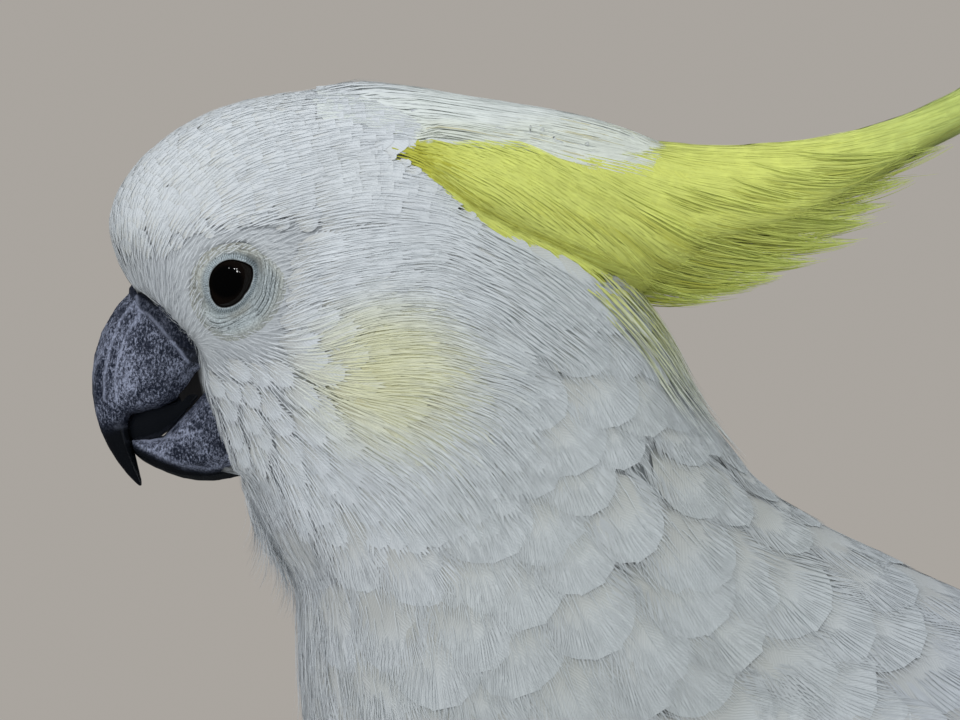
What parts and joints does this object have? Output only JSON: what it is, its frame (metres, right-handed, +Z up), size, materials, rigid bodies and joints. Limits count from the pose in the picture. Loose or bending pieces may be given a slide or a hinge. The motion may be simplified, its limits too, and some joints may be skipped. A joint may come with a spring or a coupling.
{
  "type": "sulphur-crested cockatoo",
  "caption": "Life-size standing white cockatoo with a yellow crest laid back, dark hooked bill and folded wings, a still model that rests on its own feet.",
  "frame": {"origin": "on the floor, under the middle of the bird's bounding box", "axes": "+Z up; the bird faces -Y, its tail points along +Y, and its left side is at +X"},
  "size_m": [0.1136, 0.4722, 0.3155],
  "materials": {
    "white_plumage": "matt overlapping feathers",
    "yellow_plumage": "matt loose-webbed feathers",
    "bill_horn": "satin horn with pale flaking and a polished tip",
    "bare_skin": "dry bare skin",
    "tongue_skin": "moist dark skin",
    "eye_gloss": "wet gloss",
    "leg_skin": "scaly skin",
    "claw_horn": "satin horn"
  },
  "bodies": {
    "root": {"head": "white_plumage", "neck": "white_plumage", "trunk": "white_plumage", "tail": "white_plumage", "bill_upper": "bill_horn", "bill_lower": "bill_horn", "cere": "bare_skin", "tongue": "tongue_skin", "eye_left": "eye_gloss", "eye_right": "eye_gloss", "crest_cap": "white_plumage", "crest_plumes": "yellow_plumage", "wing_left": "white_plumage", "wing_right": "white_plumage", "wing_quills_left": "white_plumage", "wing_quills_right": "white_plumage", "thigh_left": "white_plumage", "thigh_right": "white_plumage", "shank_left": "leg_skin", "shank_right": "leg_skin", "toe_1_left": "leg_skin", "toe_1_right": "leg_skin", "claw_1_left": "claw_horn", "claw_1_right": "claw_horn", "toe_2_left": "leg_skin", "toe_2_right": "leg_skin", "claw_2_left": "claw_horn", "claw_2_right": "claw_horn", "toe_3_left": "leg_skin", "toe_3_right": "leg_skin", "claw_3_left": "claw_horn", "claw_3_right": "claw_horn", "toe_4_left": "leg_skin", "toe_4_right": "leg_skin", "claw_4_left": "claw_horn", "claw_4_right": "claw_horn"}
  },
  "joints": []
}
